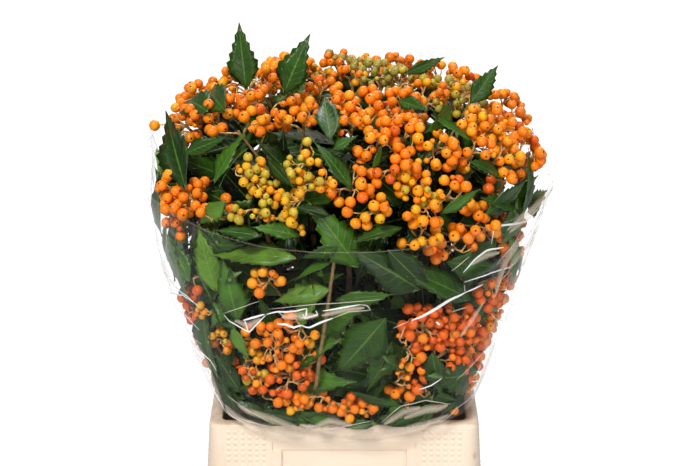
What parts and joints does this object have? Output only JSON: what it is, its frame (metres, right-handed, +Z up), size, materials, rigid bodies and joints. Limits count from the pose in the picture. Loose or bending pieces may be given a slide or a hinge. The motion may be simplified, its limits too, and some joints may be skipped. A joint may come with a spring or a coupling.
{
  "type": "bunch of cut pittosporum branches in a flower bucket",
  "caption": "Bunch of cut, berried pittosporum branches with toothed leaves and orange berries, in a clear film sleeve, standing in a square plastic flower bucket.",
  "frame": {"origin": "middle of the bucket's flat underside", "axes": "+Z up, out of the bucket; -Y towards the front, where the film hangs over the rim; +X to the right as seen from the front"},
  "size_m": [0.4557, 0.4222, 0.6965],
  "materials": {
    "bucket_plastic": "cream polypropylene, moulded, slightly soiled at the rim",
    "clear_film": "clear glossy wrapping film",
    "bark": "young grey-brown bark",
    "foliage_and_berries": "glossy dark green leaves and satin orange berries"
  },
  "bodies": {
    "root": {"bucket": "bucket_plastic", "film_sleeve": "clear_film", "stem_1": "bark", "stem_2": "bark", "stem_3": "bark", "stem_4": "bark", "stem_5": "bark", "stem_6": "bark", "stem_7": "bark", "stem_8": "bark", "stem_9": "bark", "stem_10": "bark", "stem_11": "bark", "stem_12": "bark", "bough_1": "bark", "bough_2": "bark", "bough_3": "bark", "bough_4": "bark", "bough_5": "bark", "bough_6": "bark", "bough_7": "bark", "bough_8": "bark", "crown_mass_1": "foliage_and_berries", "crown_mass_2": "foliage_and_berries", "crown_mass_3": "foliage_and_berries", "crown_mass_4": "foliage_and_berries", "crown_mass_5": "foliage_and_berries", "crown_mass_6": "foliage_and_berries", "crown_mass_7": "foliage_and_berries", "crown_mass_8": "foliage_and_berries", "crown_mass_9": "foliage_and_berries", "crown_mass_10": "foliage_and_berries", "crown_mass_11": "foliage_and_berries", "crown_mass_12": "foliage_and_berries", "low_mass_1": "foliage_and_berries", "low_mass_2": "foliage_and_berries", "low_mass_3": "foliage_and_berries", "low_mass_4": "foliage_and_berries", "low_mass_5": "foliage_and_berries", "low_mass_6": "foliage_and_berries", "low_mass_7": "foliage_and_berries", "low_mass_8": "foliage_and_berries"}
  },
  "joints": []
}
